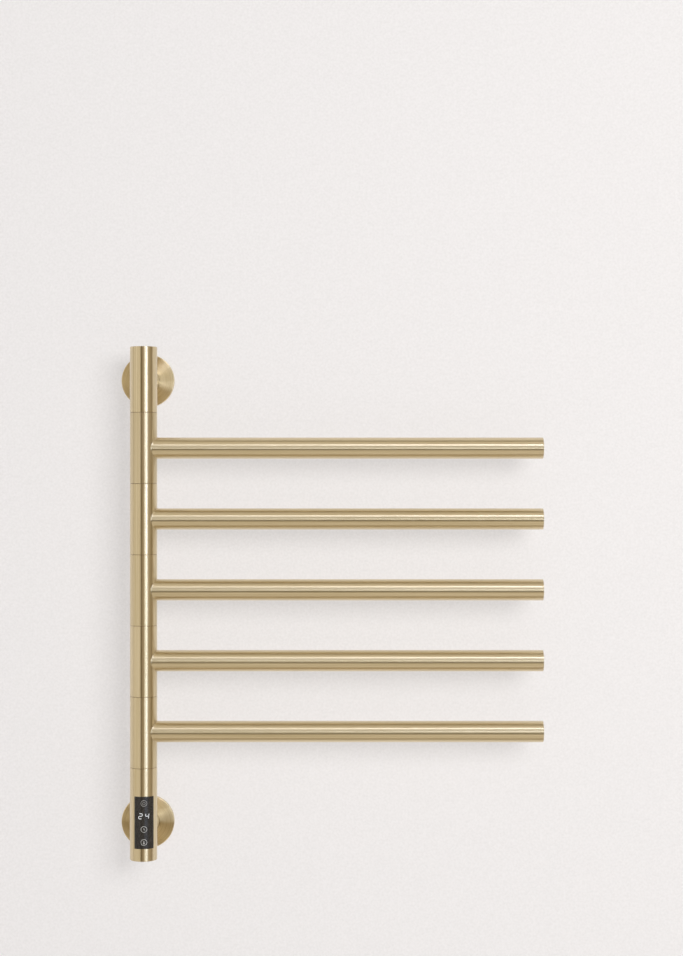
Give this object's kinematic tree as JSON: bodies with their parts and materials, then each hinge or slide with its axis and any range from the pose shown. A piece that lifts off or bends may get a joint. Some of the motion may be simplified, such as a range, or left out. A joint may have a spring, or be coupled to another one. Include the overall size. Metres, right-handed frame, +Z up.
{
  "type": "swivel heated towel rail",
  "caption": "Wall-mounted electric towel rail: a round column of turning collars, each with one straight heated arm that swings along the wall, between two fixed sleeves with a touch control.",
  "frame": {"origin": "centre of the lower wall plate, on the wall", "axes": "+Z up along the column, +X along the arms at rest, +Y into the wall"},
  "size_m": [0.4995, 0.07, 0.6],
  "materials": {
    "brushed_brass": "brushed, satin",
    "turned_steel": "turned",
    "zinc_plated_steel": "zinc plated",
    "rod_steel": "drawn, heat tinted",
    "bush_polymer": "bronze-filled PTFE, turned",
    "black_rubber": "moulded",
    "black_glass": "polished, back painted",
    "carrier_polymer": "moulded",
    "circuit_board": "solder mask",
    "ivory_polymer": "moulded",
    "lead_silicone": "extruded"
  },
  "bodies": {
    "column": {"top_sleeve": "brushed_brass", "top_cap": "brushed_brass", "bottom_sleeve": "brushed_brass", "bottom_cap": "brushed_brass", "cap_seals": "black_rubber", "spine_tube": "turned_steel", "upper_spine_plug": "turned_steel", "lower_spine_plug": "turned_steel", "spring_washer": "zinc_plated_steel", "tension_nut": "zinc_plated_steel", "thrust_washers": "bush_polymer", "stop_segments": "turned_steel", "heater_leads": "lead_silicone", "upper_stem": "brushed_brass", "lower_stem": "brushed_brass", "upper_rose": "brushed_brass", "lower_rose": "brushed_brass", "upper_wall_plate": "turned_steel", "lower_wall_plate": "turned_steel", "grub_screws": "zinc_plated_steel", "cable_grommet": "black_rubber", "control_glass": "black_glass", "glass_gasket": "black_rubber", "control_carrier": "carrier_polymer", "control_board": "circuit_board", "board_screws": "zinc_plated_steel", "display_module": "carrier_polymer", "touch_pads": "black_rubber", "temperature_sensor": "ivory_polymer", "terminal_block": "ivory_polymer"},
    "arm_1": {"arm_1_collar": "brushed_brass", "arm_1_tube": "brushed_brass", "arm_1_end_cap": "brushed_brass", "arm_1_bushes": "bush_polymer", "arm_1_heating_rod": "rod_steel"},
    "arm_2": {"arm_2_collar": "brushed_brass", "arm_2_tube": "brushed_brass", "arm_2_end_cap": "brushed_brass", "arm_2_bushes": "bush_polymer", "arm_2_heating_rod": "rod_steel"},
    "arm_3": {"arm_3_collar": "brushed_brass", "arm_3_tube": "brushed_brass", "arm_3_end_cap": "brushed_brass", "arm_3_bushes": "bush_polymer", "arm_3_heating_rod": "rod_steel"},
    "arm_4": {"arm_4_collar": "brushed_brass", "arm_4_tube": "brushed_brass", "arm_4_end_cap": "brushed_brass", "arm_4_bushes": "bush_polymer", "arm_4_heating_rod": "rod_steel"},
    "arm_5": {"arm_5_collar": "brushed_brass", "arm_5_tube": "brushed_brass", "arm_5_end_cap": "brushed_brass", "arm_5_bushes": "bush_polymer", "arm_5_heating_rod": "rod_steel"}
  },
  "joints": [
    {"name": "arm_1_swing", "type": "hinge", "parent": "column", "child": "arm_1", "pos_m": [0, -0.054, 0.4465], "axis": [0, 0, 1], "range_deg": [-180, 0]},
    {"name": "arm_2_swing", "type": "hinge", "parent": "column", "child": "arm_2", "pos_m": [0, -0.054, 0.3635], "axis": [0, 0, 1], "range_deg": [-180, 0]},
    {"name": "arm_3_swing", "type": "hinge", "parent": "column", "child": "arm_3", "pos_m": [0, -0.054, 0.2805], "axis": [0, 0, 1], "range_deg": [-180, 0]},
    {"name": "arm_4_swing", "type": "hinge", "parent": "column", "child": "arm_4", "pos_m": [0, -0.054, 0.1975], "axis": [0, 0, 1], "range_deg": [-180, 0]},
    {"name": "arm_5_swing", "type": "hinge", "parent": "column", "child": "arm_5", "pos_m": [0, -0.054, 0.1145], "axis": [0, 0, 1], "range_deg": [-180, 0]}
  ]
}
